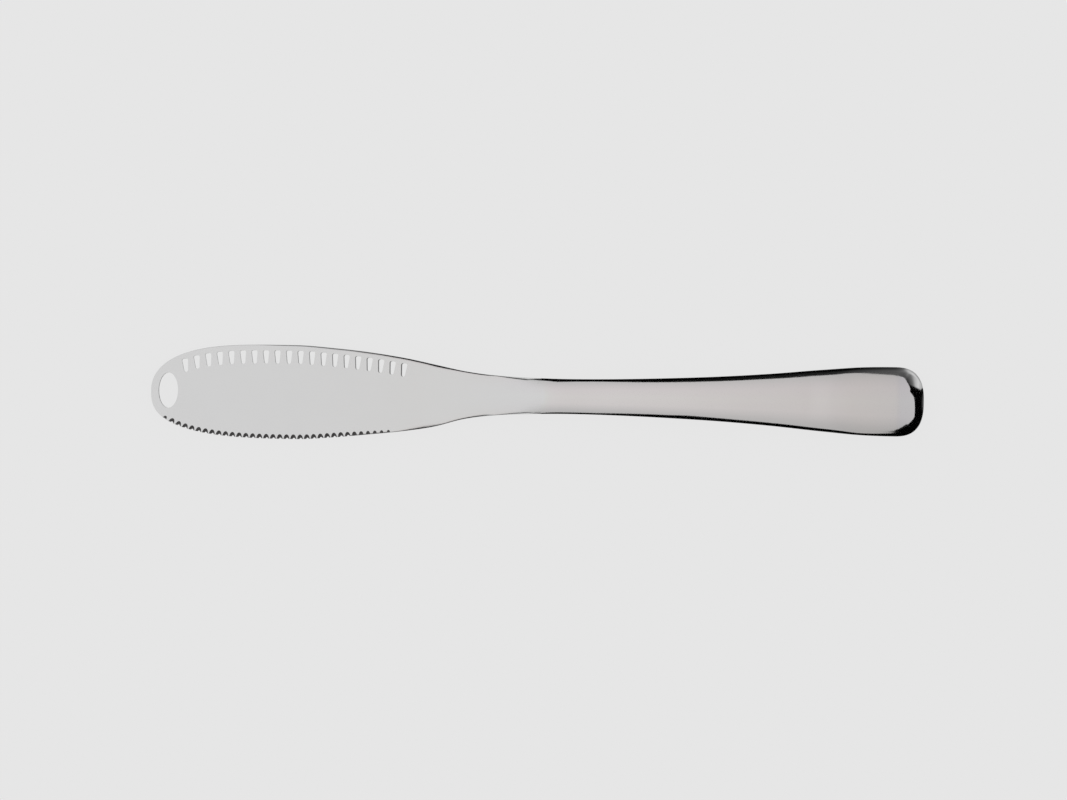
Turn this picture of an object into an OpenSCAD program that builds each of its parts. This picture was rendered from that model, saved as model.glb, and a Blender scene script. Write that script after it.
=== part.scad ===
// Butter knife with a slotted spine and a serrated edge.
// +X runs from the blade's tip to the butt of the handle, +Y is the slotted side.
// +Z is up, and the origin lies under the middle of the knife, on the surface it rests on.

/* [Overall] */
// Length of the knife from tip to butt
knife_l = 208; // [190:1:230]
// Distance from the tip to the collar, where the handle starts
collar_at = 105; // [98:0.5:112]

/* [Blade] */
// Widest part of the blade
blade_w = 25.3; // [22:0.1:28]
// Thickness of the flat blade
blade_t = 1.2; // [1:0.05:1.8]
// Length of the rounded nose, from the tip to the widest place
nose_l = 39; // [30:0.5:44]
// Length of the blade that stays flat, measured from the tip
flat_l = 72; // [71.5:0.5:78]

/* [Hanging hole] */
// Size of the oval hole along the knife
hole_l = 5.2; // [4.8:0.1:6]
// Size of the oval hole across the knife
hole_w = 9.5; // [8:0.1:11]
// Metal left between the tip and the hole
hole_margin = 2; // [1.8:0.1:3]

/* [Slots along the spine] */
// Number of slots
slot_count = 20; // [12:1:20]
// Distance from one slot to the next
slot_pitch = 3.12; // [2.6:0.02:3.12]
// Distance from the tip to the middle of the first slot
slot_first_at = 8.9; // [8.8:0.05:11]
// Length of a slot across the knife
slot_l = 3.6; // [2.8:0.05:4]
// Width of a slot at its outer end
slot_w = 1.75; // [1.4:0.05:1.9]
// Width of a slot at its inner end
slot_foot_w = 1; // [0.7:0.05:1.2]
// Radius of the corners at a slot's outer end
slot_corner_r = 0.5; // [0.2:0.05:0.6]
// Metal left between the spine and the slots
slot_margin = 1.45; // [1.2:0.05:2]
// Lean of the first slot and, the other way, of the last one, in degrees
slot_lean = 6.5; // [0:0.5:8]

/* [Serrated edge] */
// Number of notches
notch_count = 34; // [20:1:34]
// Distance from one notch to the next along the knife
notch_pitch = 1.83; // [1.7:0.01:1.87]
// Distance from the tip to the first notch
notch_first_at = 3.7; // [3.6:0.1:8]
// Depth of a notch at the blade's middle plane
notch_depth = 0.85; // [0.6:0.05:0.95]
// Half of the angle between a notch's two sides, in degrees
notch_half_angle = 34; // [28:1:38]
// Lean of the ground notch through the blade, in degrees
notch_lean = 32; // [0:1:36]

/* [Neck and handle] */
// Width at the waist, the narrowest place
waist_w = 9.4; // [8:0.05:11]
// Distance from the tip to the waist
waist_at = 112; // [108:0.5:116]
// Widest part of the handle
handle_w = 18.65; // [16:0.05:21]
// Thickest part of the handle
handle_t = 5.8; // [5.4:0.1:7]
// Distance from the butt to the widest part of the handle
butt_l = 8; // [6:0.25:10]
// Length over which the handle's faces fall away to the rim at the butt
butt_round = 8.6; // [7.5:0.1:10]
// Distance from the butt to the thickest part of the handle
thickest_from_butt = 20; // [14:0.5:26]
// Height of the upright rim round the handle, where the shells meet
rim_land = 1.6; // [1.3:0.05:1.8]

/* [Inside the handle] */
// Wall of the pressed handle shells
shell_wall = 0.6; // [0.5:0.05:0.7]
// Height of the upright rim inside the shells
inner_land = 0.3; // [0.2:0.05:0.4]
// Clearance of the spigot in the mouth of the handle
spigot_clearance = 0.1; // [0.05:0.05:0.2]
// Depth of the spigot in the handle
spigot_l = 2.5; // [2:0.25:4]
// Length of the tang behind the spigot
tang_l = 34; // [25:1:50]
// Width of the tang
tang_w = 4.6; // [3.5:0.1:5]
// Thickness of the tang
tang_t = 1.2; // [1:0.1:1.4]
// Gap that the cement leaves at the shells, the spigot and the tang as it shrinks
cement_gap = 0.1; // [0.05:0.05:0.15]

/* [Hidden] */

// Height of the middle plane, which the handle's belly sets
mid_z = handle_t / 2;
// One overrun serves all cuts
overrun = 1;
// Length of the hidden web between the flat blade and the neck
web_l = 2;

// Powers of the curve along the nose, and across it. The nose is fuller on the spine's side.
spine_nose_power = 3.6;
spine_nose_side_power = 2.15;
edge_nose_power = 2.9;
edge_nose_side_power = 2.75;
// Power of the curve that closes the butt, and of the fall of its faces seen from the side
butt_power = 2.65;
butt_side_power = 3;
// The domed section: a shallow crown takes most of the fall from the middle to the rim, and a
// narrow steeper shoulder along the rim takes the rest
crown_fall_share = 0.907;
shoulder_width_share = 0.145;

// The blade narrows to the waist, later on the edge's side. A row is the share of the way from
// the widest place to the waist, and the share of the width left above the waist's own width.
spine_taper_shares = [
    [0, 1],
    [0.12, 0.935],
    [0.26, 0.81],
    [0.4, 0.625],
    [0.51, 0.425],
    [0.62, 0.215],
    [0.73, 0.09],
    [0.86, 0.025],
    [1, 0]
];
edge_taper_shares = [
    [0, 1],
    [0.12, 0.935],
    [0.26, 0.81],
    [0.4, 0.665],
    [0.51, 0.5],
    [0.62, 0.228],
    [0.73, 0.09],
    [0.86, 0.025],
    [1, 0]
];
// The handle flares. A row is the share of the way from the waist to the widest part, and the
// share of the width gained on the waist.
flare_shares = [
    [0, 0],
    [0.14, 0.035],
    [0.3, 0.135],
    [0.46, 0.28],
    [0.62, 0.495],
    [0.78, 0.78],
    [0.89, 0.95],
    [1, 1]
];
// The neck and handle thicken. A row is the share of the way from the end of the flat blade to
// the thickest place, and the share of the thickness gained on the blade.
swell_shares = [
    [0, 0],
    [0.08, 0.04],
    [0.16, 0.15],
    [0.22, 0.31],
    [0.26, 0.47],
    [0.3, 0.56],
    [0.4, 0.56],
    [0.5, 0.588],
    [0.6, 0.632],
    [0.7, 0.69],
    [0.8, 0.772],
    [0.9, 0.879],
    [1, 1]
];

// How finely curves are drawn: points along the nose, the narrowing flat, the neck, the handle
// and the butt, and across half a section
nose_steps = 22;
taper_steps = 12;
neck_steps = 14;
handle_steps = 26;
butt_steps = 12;
section_steps = 20;
oval_steps = 40;
corner_steps = 5;
// The butt's curves stop just short of their end, on a small flat
butt_stop_share = 0.999;

// Places along the knife, measured from the tip
widest_at = knife_l - butt_l;
thickest_at = knife_l - thickest_from_butt;
round_at = knife_l - butt_round;

// A smooth curve through the rows of a table, level at both ends
function row_slope(rows, i) =
    i == 0 || i == len(rows) - 1 ? 0
    : (rows[i + 1][1] - rows[i - 1][1]) / (rows[i + 1][0] - rows[i - 1][0]);
function between(rows, i, span, u) =
    (2 * u ^ 3 - 3 * u ^ 2 + 1) * rows[i][1]
    + (u ^ 3 - 2 * u ^ 2 + u) * span * row_slope(rows, i)
    + (3 * u ^ 2 - 2 * u ^ 3) * rows[i + 1][1]
    + (u ^ 3 - u ^ 2) * span * row_slope(rows, i + 1);
function curve_share(rows, at, i = 0) =
    i < len(rows) - 2 && at > rows[i + 1][0] ? curve_share(rows, at, i + 1)
    : between(
        rows, i, rows[i + 1][0] - rows[i][0],
        (at - rows[i][0]) / (rows[i + 1][0] - rows[i][0])
    );
function kept(value) = min(1, max(0, value));

// Half of the width at a distance s from the tip, drawn in by inset: half_w on the edge's side
// and spine_half_w on the spine's side, which are the same along the handle
function nose_half_w(s, power, side_power) =
    blade_w / 2 * (1 - (1 - s / nose_l) ^ power) ^ (1 / side_power);
function taper_half_w(s, shares) =
    (waist_w + (blade_w - waist_w)
        * curve_share(shares, (s - nose_l) / (waist_at - nose_l))) / 2;
function flare_half_w(s) =
    (waist_w + (handle_w - waist_w)
        * curve_share(flare_shares, (s - waist_at) / (widest_at - waist_at))) / 2;
function butt_half_w(s, inset) =
    (handle_w / 2 - inset)
    * (1 - kept((s - widest_at) / (butt_l - inset)) ^ butt_power) ^ (1 / butt_power);
function half_w(s, inset = 0) =
    s < nose_l ? nose_half_w(s, edge_nose_power, edge_nose_side_power)
    : s < waist_at ? taper_half_w(s, edge_taper_shares) - inset
    : s < widest_at ? flare_half_w(s) - inset
    : butt_half_w(s, inset);
function spine_half_w(s, inset = 0) =
    s < nose_l ? nose_half_w(s, spine_nose_power, spine_nose_side_power)
    : s < waist_at ? taper_half_w(s, spine_taper_shares) - inset
    : half_w(s, inset);

// Half of the thickness at a distance s from the tip, drawn in by inset, down to the rim's
// own height at the butt
function swell_half_t(s) =
    (blade_t + (handle_t - blade_t)
        * curve_share(swell_shares, kept((s - flat_l) / (thickest_at - flat_l)))) / 2;
function butt_fall_share(s, inset) =
    kept((s - round_at) / (butt_round - inset)) ^ butt_side_power;
function half_t(s, inset, land) =
    let (whole = swell_half_t(min(s, thickest_at)) - inset)
    whole - (whole - land) * butt_fall_share(s, inset);

// Half of the upright rim's height, from the flat blade's whole edge to the handle's rim
function half_land(s) =
    blade_t / 2 + (rim_land - blade_t) / 2
        * kept((s - flat_l) / (collar_at - flat_l));

// One side of a section: points across the knife from +Y to -Y, at their heights
function across_share(k) = cos(180 * k / section_steps);
function shoulder_share(y_share) =
    kept((abs(y_share) - 1 + shoulder_width_share) / shoulder_width_share);
function dome_share(y_share) =
    1 - crown_fall_share * y_share ^ 2
    - (1 - crown_fall_share) * shoulder_share(y_share) ^ 2;
function dome(s, inset, land) = [
    for (k = [0 : section_steps])
        [
            (2 * k < section_steps ? spine_half_w(s, inset) : half_w(s, inset))
                * across_share(k),
            min(land, half_t(s, inset, land))
                + max(0, half_t(s, inset, land) - land) * dome_share(across_share(k))
        ]
];

// Whole section as a closed ring: over the top from +Y to -Y, and back underneath
function ring(s, inset, land) =
    let (top = dome(s, inset, land), last = len(top) - 1)
    concat(
        [for (p = top) [s - knife_l / 2, p[0], mid_z + p[1]]],
        [for (k = [last : -1 : 0]) [s - knife_l / 2, top[k][0], mid_z - top[k][1]]]
    );

// A skin over a row of rings, with a flat cap at each end
module skin(rings) {
    n = len(rings[0]);
    count = len(rings);
    far = (count - 1) * n;
    sides = [
        for (i = [0 : count - 2], k = [0 : n - 1])
            let (a = i * n + k, b = i * n + (k + 1) % n)
            each [[a, a + n, b + n], [a, b + n, b]]
    ];
    near_cap = [for (k = [0 : n / 2 - 2]) [k, k + 1, n - 2 - k, n - 1 - k]];
    far_cap = [for (f = near_cap) [for (k = [3 : -1 : 0]) far + f[k]]];
    polyhedron(
        points = [for (r = rings) each r],
        faces = concat(sides, near_cap, far_cap)
    );
}

// Stations along the neck, and along the handle from a start to the butt
function spaced(from, to, steps) = [for (i = [0 : steps]) from + (to - from) * i / steps];
function butt_stations(inset) = [
    for (i = [1 : butt_steps])
        widest_at + (butt_l - inset) * butt_stop_share * sin(90 * i / butt_steps)
];
function handle_stations(from, inset) =
    concat(spaced(from, widest_at, handle_steps), butt_stations(inset));

// Outline of the flat blade, with the nose's points closest together at the tip
nose_stations = [for (i = [1 : nose_steps]) nose_l * (1 - cos(90 * i / nose_steps))];
flat_stations = concat(
    nose_stations,
    [for (i = [1 : taper_steps]) nose_l + (flat_l - nose_l) * i / taper_steps]
);
function outline_points() = concat(
    [[0, 0]],
    [for (s = flat_stations) [s, spine_half_w(s)]],
    [for (i = [len(flat_stations) - 1 : -1 : 0]) [flat_stations[i], -half_w(flat_stations[i])]]
);

// Slot: two rounded corners at its outer end and a round foot, its outer end at the origin
function corner(x, y, r, from, to) = [
    for (i = [0 : corner_steps])
        let (a = from + (to - from) * i / corner_steps)
        [x + r * cos(a), y + r * sin(a)]
];
function slot_points() = concat(
    corner(slot_w / 2 - slot_corner_r, -slot_corner_r, slot_corner_r, 0, 90),
    corner(slot_corner_r - slot_w / 2, -slot_corner_r, slot_corner_r, 90, 180),
    corner(0, slot_foot_w / 2 - slot_l, slot_foot_w / 2, 180, 360)
);

module slot_cuts() {
    for (i = [0 : slot_count - 1]) {
        s = slot_first_at + i * slot_pitch;
        lean = slot_count > 1 ? slot_lean * (1 - 2 * i / (slot_count - 1)) : 0;
        translate([s, spine_half_w(s) - slot_margin, -overrun])
            rotate([0, 0, lean])
                linear_extrude(blade_t + 2 * overrun) polygon(slot_points());
    }
}

// Notch: a V ground at a lean through the blade, square to the edge where it lies.
// The first notch and the last few are shallower.
notch_fade_count = 7;
notch_fade_share = 0.6;
notch_reach = 2 * notch_depth;
function notch_place(i) = notch_first_at + i * notch_pitch;
function notch_depth_at(i) =
    notch_depth * (notch_fade_share + (1 - notch_fade_share)
        * kept(min(notch_count - 1 - i, notch_fade_count * (i + 0.5)) / notch_fade_count));
function edge_angle(s) = atan2(half_w(s - notch_pitch) - half_w(s + notch_pitch), 2 * notch_pitch);

module notch_cuts() {
    half_open = notch_reach * tan(notch_half_angle);
    for (i = [0 : notch_count - 1])
        translate([notch_place(i), -half_w(notch_place(i)), blade_t / 2])
            rotate([0, 0, edge_angle(notch_place(i))])
                translate([0, notch_depth_at(i), 0])
                    rotate([-notch_lean, 0, 0])
                        linear_extrude(blade_t + 2 * overrun, center = true)
                            polygon([
                                [0, 0], [-half_open, -notch_reach], [half_open, -notch_reach]
                            ]);
}

module hole_cut() {
    translate([hole_margin + hole_l / 2, 0, -overrun])
        linear_extrude(blade_t + 2 * overrun)
            polygon([
                for (i = [0 : oval_steps - 1])
                    let (a = 360 * i / oval_steps)
                    [hole_l / 2 * cos(a), hole_w / 2 * sin(a)]
            ]);
}

module blade_plate() {
    translate([-knife_l / 2, 0, mid_z - blade_t / 2])
        difference() {
            linear_extrude(blade_t) polygon(outline_points());
            hole_cut();
            slot_cuts();
            notch_cuts();
        }
}

module neck() {
    skin([for (s = spaced(flat_l, collar_at, neck_steps)) ring(s, 0, half_land(s))]);
}

// Web inside the steel where the flat blade ends, so that the neck and the plate are one
module web() {
    translate([flat_l - knife_l / 2 - web_l / 2, -waist_w / 4, mid_z - blade_t / 4])
        cube([web_l, waist_w / 2, blade_t / 2]);
}

// The spigot and tang start inside the neck, so that they are one piece of steel with it
spigot_inset = shell_wall + spigot_clearance;
spigot_end = collar_at + spigot_l;

module spigot() {
    skin([
        for (s = [collar_at - spigot_l, spigot_end])
            [for (p = ring(collar_at, spigot_inset, inner_land / 2)) [s - knife_l / 2, p[1], p[2]]]
    ]);
}

module tang() {
    translate([collar_at - knife_l / 2, -tang_w / 2, mid_z - tang_t / 2])
        cube([spigot_l + tang_l, tang_w, tang_t]);
}

module blade() {
    color([0.8, 0.8, 0.8]) {
        blade_plate();
        web();
        neck();
        spigot();
        tang();
    }
}

// Half shell: a dome outside, a smaller dome inside, and flat edges on the middle plane
function half_ring(s, inset, land) = concat(
    [[s - knife_l / 2, half_w(s, inset), mid_z]],
    [for (p = dome(s, inset, land)) [s - knife_l / 2, p[0], mid_z + p[1]]],
    [[s - knife_l / 2, -half_w(s, inset), mid_z]]
);

module half_shell() {
    stations = handle_stations(collar_at, 0);
    inner_stations = handle_stations(collar_at, shell_wall);
    outer = [for (s = stations) half_ring(s, 0, rim_land / 2)];
    inner = [for (s = inner_stations) half_ring(s, shell_wall, inner_land / 2)];
    n = len(outer[0]);
    count = len(outer);
    // The inner points follow the outer ones in the list
    within = count * n;
    far = (count - 1) * n;
    outer_sides = [
        for (i = [0 : count - 2], k = [0 : n - 2])
            let (a = i * n + k)
            each [[a, a + n, a + n + 1], [a, a + n + 1, a + 1]]
    ];
    inner_sides = [for (f = outer_sides) [f[2] + within, f[1] + within, f[0] + within]];
    plus_seam = [
        for (i = [0 : count - 2])
            let (a = i * n)
            [a + n, a, a + within, a + n + within]
    ];
    minus_seam = [
        for (i = [0 : count - 2])
            let (a = i * n + n - 1)
            [a, a + n, a + n + within, a + within]
    ];
    mouth = [for (k = [0 : n - 2]) [k, k + 1, k + 1 + within, k + within]];
    butt_seam = [[far, far + within, far + n - 1 + within, far + n - 1]];
    outer_cap = [[for (k = [n - 1 : -1 : 0]) far + k]];
    inner_cap = [[for (k = [0 : n - 1]) far + k + within]];
    polyhedron(
        points = concat([for (r = outer) each r], [for (r = inner) each r]),
        faces = concat(
            outer_sides, inner_sides, plus_seam, minus_seam, mouth,
            butt_seam, outer_cap, inner_cap
        )
    );
}

module handle_upper_shell() {
    color([0.76, 0.74, 0.73]) half_shell();
}

module handle_lower_shell() {
    color([0.76, 0.74, 0.73])
        translate([0, 0, 2 * mid_z])
            mirror([0, 0, 1])
                half_shell();
}

// Cement: fills the handle behind the spigot, with a pocket that holds the tang
filler_inset = shell_wall + cement_gap;
filler_start = spigot_end + cement_gap;

module tang_pocket() {
    translate([
        spigot_end - overrun - knife_l / 2,
        -tang_w / 2 - cement_gap,
        mid_z - tang_t / 2 - cement_gap
    ])
        cube([
            overrun + tang_l + cement_gap,
            tang_w + 2 * cement_gap,
            tang_t + 2 * cement_gap
        ]);
}

module handle_filler() {
    color([0.62, 0.6, 0.56])
        difference() {
            skin([
                for (s = handle_stations(filler_start, filler_inset))
                    ring(s, filler_inset, inner_land / 2)
            ]);
            tang_pocket();
        }
}

blade();
handle_upper_shell();
handle_lower_shell();
handle_filler();
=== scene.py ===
import math

import bmesh
import bpy
import numpy as np
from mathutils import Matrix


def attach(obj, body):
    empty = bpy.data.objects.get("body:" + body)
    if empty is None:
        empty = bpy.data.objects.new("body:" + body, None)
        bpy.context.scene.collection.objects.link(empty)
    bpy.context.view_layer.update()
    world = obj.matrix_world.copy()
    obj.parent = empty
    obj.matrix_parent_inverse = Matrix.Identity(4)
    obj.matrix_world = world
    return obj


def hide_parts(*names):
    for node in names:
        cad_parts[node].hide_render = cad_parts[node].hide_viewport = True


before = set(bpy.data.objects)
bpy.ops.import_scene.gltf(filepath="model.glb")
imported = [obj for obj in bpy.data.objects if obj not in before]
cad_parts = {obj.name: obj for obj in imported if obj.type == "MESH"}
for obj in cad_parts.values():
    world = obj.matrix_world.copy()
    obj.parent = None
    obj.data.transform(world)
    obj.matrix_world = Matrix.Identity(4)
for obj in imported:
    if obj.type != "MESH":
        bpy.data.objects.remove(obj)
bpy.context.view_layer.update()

# Sizes in millimetres, measured from the blade's tip along the knife
MM = 0.001
KNIFE_L = 208.0
COLLAR_AT = 105.0
BLADE_W = 25.3
BLADE_T = 1.2
NOSE_L = 39.0
FLAT_L = 72.0
WAIST_AT = 112.0
WAIST_W = 9.4
HANDLE_W = 18.65
HANDLE_T = 5.8
BUTT_L = 8.0
BUTT_ROUND = 8.6
THICKEST_FROM_BUTT = 20.0
RIM_LAND = 1.6
INNER_LAND = 0.3
SHELL_WALL = 0.6
SPIGOT_CLEARANCE = 0.1
SPIGOT_L = 2.5
TANG_L = 34.0
TANG_W = 4.6
TANG_T = 1.2
SEAM_BREAK = 0.04
WIDEST_AT = KNIFE_L - BUTT_L
THICKEST_AT = KNIFE_L - THICKEST_FROM_BUTT
ROUND_AT = KNIFE_L - BUTT_ROUND
MID_Z = HANDLE_T / 2

# The oval hanging hole
HOLE_L = 5.2
HOLE_W = 9.5
HOLE_MARGIN = 2.0

# The slots, punched through with a ground lip on the tip's side
SLOT_COUNT = 20
SLOT_PITCH = 3.12
SLOT_FIRST_AT = 8.9
SLOT_L = 3.6
SLOT_W = 1.75
SLOT_FOOT_W = 1.0
SLOT_CORNER_R = 0.5
SLOT_MARGIN = 1.45
SLOT_LEAN = 6.5
# The punches stood a little off square: more and more, until the last slot's left wall shows
SLOT_TILT = 11.0
SLOT_FIRST_TILT_SHARE = -0.4
SLOT_TILT_POWER = 1.5
HOLE_TILT = -3.0

# The serrations: a slanting arched bevel on the face, and a small notch right through under it
NOTCH_COUNT = 34
NOTCH_PITCH = 1.83
NOTCH_FIRST_AT = 3.7
NOTCH_DEPTH = 0.34
NOTCH_WIDTH = 0.8
NOTCH_TOP_WIDTH = 0.36
NOTCH_SHIFT = 0.1
BEVEL_DEPTH = 1.26
BEVEL_WIDTH = 2.15
BEVEL_TOP_WIDTH = 0.95
BEVEL_LEAN = 52.0
# The first one and the last few are smaller, and the first and the last six are blind
NOTCH_FADE_COUNT = 7
NOTCH_FADE_SHARE = 0.6
NOTCH_FIRST_FADE = 0.2
NOTCH_BLIND_COUNT = 6

# Powers of the nose's curves, fuller on the spine's side, and of the butt's curves, and shares
# of the domed section
SPINE_NOSE_POWER = 3.6
SPINE_NOSE_SIDE_POWER = 2.15
EDGE_NOSE_POWER = 2.9
EDGE_NOSE_SIDE_POWER = 2.75
BUTT_POWER = 2.65
BUTT_SIDE_POWER = 3
CROWN_FALL_SHARE = 0.907
SHOULDER_SHARE = 0.145

# Share of the way along, and share of the width or thickness gained there
SPINE_TAPER_SHARES = (
    (0, 1), (0.12, 0.935), (0.26, 0.81), (0.4, 0.625), (0.51, 0.425),
    (0.62, 0.215), (0.73, 0.09), (0.86, 0.025), (1, 0),
)
EDGE_TAPER_SHARES = (
    (0, 1), (0.12, 0.935), (0.26, 0.81), (0.4, 0.665), (0.51, 0.5),
    (0.62, 0.228), (0.73, 0.09), (0.86, 0.025), (1, 0),
)
FLARE_SHARES = (
    (0, 0), (0.14, 0.035), (0.3, 0.135), (0.46, 0.28),
    (0.62, 0.495), (0.78, 0.78), (0.89, 0.95), (1, 1),
)
SWELL_SHARES = (
    (0, 0), (0.08, 0.04), (0.16, 0.15), (0.22, 0.31), (0.26, 0.47),
    (0.3, 0.56), (0.4, 0.56), (0.5, 0.588), (0.6, 0.632), (0.7, 0.69),
    (0.8, 0.772), (0.9, 0.879), (1, 1),
)
# Width in mm of the eased edges on the blade's face, by the distance from the tip
SPINE_EASE = (
    (0, 0.06), (28, 0.12), (33, 0.35), (37, 0.44), (44, 0.56), (50, 0.66), (53, 0.61),
    (58, 0.72), (63, 0.68), (66, 0.81), (68, 0.74), (71, 0.83), (74, 0.84), (77, 1.04),
    (79, 0.95), (82, 0.62), (85, 0.54), (90, 0.51), (93, 0.22), (98, 0.63), (101, 0.8),
    (103, 0.3), (105, 0.06),
)
EDGE_EASE = (
    (0, 0.05), (50, 0.06), (54, 0.44), (64, 0.54), (65, 0.25), (68, 0.46), (71, 0.79),
    (74, 0.99), (76.5, 0.86), (79, 0.46), (85, 0.54), (90, 0.7), (92.5, 0.18), (98, 0.55),
    (101, 0.62), (103, 0.2), (105, 0.05),
)
# How far an eased edge falls, as a share of its width
EDGE_EASE_FALL = 0.36

# How finely the meshes are drawn. Rows across a piece: near each edge, over the face, and the
# width in mm of the band near the edge, which is at most this share of the half width
BLADE_ROWS = (14, 20, 1.6)
SHELL_ROWS = (26, 40, 2.6)
BAND_MOST_SHARE = 0.8
# Rings along the nose, closest at the tip, and along the flat, the neck, the handle and the butt
NOSE_RINGS = 70
NOSE_RING_POWER = 2.6
FLAT_RINGS = 34
NECK_RINGS = 90
HANDLE_RINGS = 150
BUTT_RINGS = 60
# The butt's last ring lies just short of its end. The seam's edge is broken where the half width
# is over 1 mm, and no half width is less than the least
BUTT_END_SHARE = 0.99999
SEAM_HALF_W = 1
LEAST_HALF_W = 0.001
HOLE_SIDES = 72
SLOT_CORNER_STEPS = 6
ARCH_CORNER_STEPS = 4
# The slot's foot is rounded by nearly half of its width
SLOT_FOOT_ROUND_SHARE = 0.49
CUT_HEIGHT = 4 * BLADE_T
# Angles in degrees above which an edge is sharp, and distances in metres that are closed up
BLADE_SHARP = 35
SHELL_SHARP = 40
DOUBLES_M = 0.000002
SLIVERS_M = 0.000001

# The steels' own colour, nearly the same all over
STEEL_CLOUD = "#DADADA"
STEEL_CLEAR = "#DDDDDD"

# The camera: its place in metres and turn in degrees, and its lens in mm
CAMERA_PLACE = (-0.00103, -0.00108, MID_Z * MM + 0.599)
CAMERA_TURN = 0.9266
LENS_MM = 75.0
SENSOR_MM = 36.0

# The studio: the table's colour, glow and size, the flags' distance in mm, the degrees from one
# of their columns of points to the next, and the points in a column
TABLE_GREY = "#4A4A4A"
TABLE_GLOW = 0.742
TABLE_R = 4000.0
TABLE_SIDES = 96
FLAG_AWAY = 700.0
FLAG_STEP = 0.5
FLAG_ROWS = 61
# Bearing from +X, and how high the flag stands there
FLAG_TOPS = (
    (-122, 50), (-92, 44), (-90.3, 35), (-89.4, 27), (-88.8, 34), (-88.2, 38), (-87, 38.5),
    (-86.2, 45), (-85, 46.8), (-84, 50), (-82.8, 49.5), (-81.8, 51), (-80.8, 52), (-80.2, 48.5),
    (-79.6, 43), (-78.5, 37.5), (-77, 33), (-75, 29.5), (-73, 31), (-71, 33.5), (-69, 37),
    (-67, 42.5), (-65.5, 46.5), (-64, 48.4), (-61.5, 49.6), (-55, 50.5), (-46, 49.9),
    (-41.5, 48.8), (-37, 46), (-29, 42.8), (-25, 40.9), (-21, 38.4), (-16.5, 36.2),
    (-9, 36.5), (0, 37.8), (6, 40.2), (11.4, 45.5), (17.7, 50), (21.7, 48.2), (26, 48.8),
    (32, 49.7), (38, 50.4), (46, 49.8), (52, 50.5), (56, 51.3), (61, 51.3), (64, 50.6),
    (66.5, 49.7), (69, 48.5), (72, 48.1), (74.7, 49.8), (75.7, 51.5), (77, 51.5),
    (79, 52.4), (82, 52.6), (84, 51.8), (85, 50.5), (86, 49), (86.8, 46.5), (87.3, 48),
    (87.6, 50.5), (88, 51.5), (88.7, 49), (89.3, 47), (91, 49), (122, 50),
)
# The side light painted as glow on the flag, which the steel mirrors as a painted highlight:
# bearing, and its glow 15, 27, 34, 40 and 47 degrees up
PAINTED_SIDE_GLOW_AT = (15, 27, 34, 40, 47)
PAINTED_SIDE_GLOW = (
    (8, 0.42, 0.85, 0.62, 0.2, 0.06), (40, 0.42, 0.85, 0.62, 0.2, 0.06),
    (46, 0.45, 0.7, 0.65, 0.35, 0.1), (52, 0.45, 0.68, 0.38, 0.2, 0.1),
    (57, 0.4, 0.4, 0.24, 0.18, 0.11), (62, 0.2, 0.15, 0.15, 0.14, 0.12),
    (67, 0.08, 0.1, 0.1, 0.12, 0.09), (72, 0.02, 0.03, 0.05, 0.06, 0.04),
    (77, 0, 0, 0.01, 0.02, 0.01), (84, 0, 0, 0, 0, 0),
)
# Its sharp near edge: degrees up, and the bearing there
PAINTED_SIDE_GLOW_EDGE = ((20, 9), (25, 11.5), (33.6, 16.3), (41, 21.8), (45, 26), (50, 31))
# Runs of the flag from bearing to bearing, and how near it stands: the middle run is a small card
# close round the butt, at this share of the way out, which the blade doesn't see
FLAG_RUNS = ((-122, -60, 1.0), (-64, 64, 0.2), (60, 122, 1.0))
# A flag's bearing over the bearing that the butt's rim faces where it mirrors that flag, and how
# far inside the outline that place is
RIM_TURN_SHARE = 0.74
RIM_BAND = 0.7
# The near card's foot has a faint painted glow that stands in for the table's light falling on it,
# and the others a painted pale glow that stands in for pale board under them: their glow at the
# table, and how many degrees up it starts to fade and ends
NEAR_FOOT_PAINTED_GLOW = (0.3, 0, 15)
FAR_FOOT_PAINTED_GLOW = (0.72, 16.8, 18.6)
# Beside the blade the far flags are painted grey with a glow: their glow, and the bearings where
# it starts and is full
BLADE_FLAG_PAINTED_GREY = 0.25
BLADE_FLAG_FROM = 91
BLADE_FLAG_TO = 94
# Colour of the soft surround by how far a direction leans along the knife, from -1 to 1
SKY_ROWS = (
    (-0.25, "#F1F1F1"), (-0.06, "#F1F1F1"), (-0.035, "#EFEFEC"), (0.0, "#F0ECEB"),
    (0.05, "#ECE8E6"), (0.077, "#E4DFDD"), (0.14, "#E2DDDA"), (0.16, "#DFDBD9"),
    (0.205, "#DAD7D7"), (0.25, "#DAD8D9"),
)
# What is left of its light by how far a direction leans across the knife, from -1 to 1
SKY_SIDE_ROWS = (
    (-0.66, "#DFE1E2"), (-0.57, "#E7E8E9"), (-0.48, "#F1F1F2"), (-0.33, "#FCFBFC"),
    (0.0, "#FFFFFF"), (0.33, "#FDFBFD"), (0.48, "#F5F4F6"), (0.57, "#ECEDEE"),
    (0.66, "#E6E9EB"),
)


# Curves of the knife's outline and section

def curve_share(rows, at):
    """A smooth curve through the rows of a table, level at both ends."""
    rows = np.array(rows, float)
    x, y = rows[:, 0], rows[:, 1]
    slope = np.zeros(len(x))
    slope[1:-1] = (y[2:] - y[:-2]) / (x[2:] - x[:-2])
    at = np.clip(at, x[0], x[-1])
    i = np.clip(np.searchsorted(x, at, side="right") - 1, 0, len(x) - 2)
    span = x[i + 1] - x[i]
    u = (at - x[i]) / span
    return (
        (2 * u**3 - 3 * u**2 + 1) * y[i]
        + (u**3 - 2 * u**2 + u) * span * slope[i]
        + (3 * u**2 - 2 * u**3) * y[i + 1]
        + (u**3 - u**2) * span * slope[i + 1]
    )


def kept(value):
    return np.clip(value, 0.0, 1.0)


def nose_half_w(s, power, side_power):
    return BLADE_W / 2 * (1 - kept(1 - s / NOSE_L) ** power) ** (1 / side_power)


def taper_half_w(s, shares):
    left = curve_share(shares, kept((s - NOSE_L) / (WAIST_AT - NOSE_L)))
    return (WAIST_W + (BLADE_W - WAIST_W) * left) / 2


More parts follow.
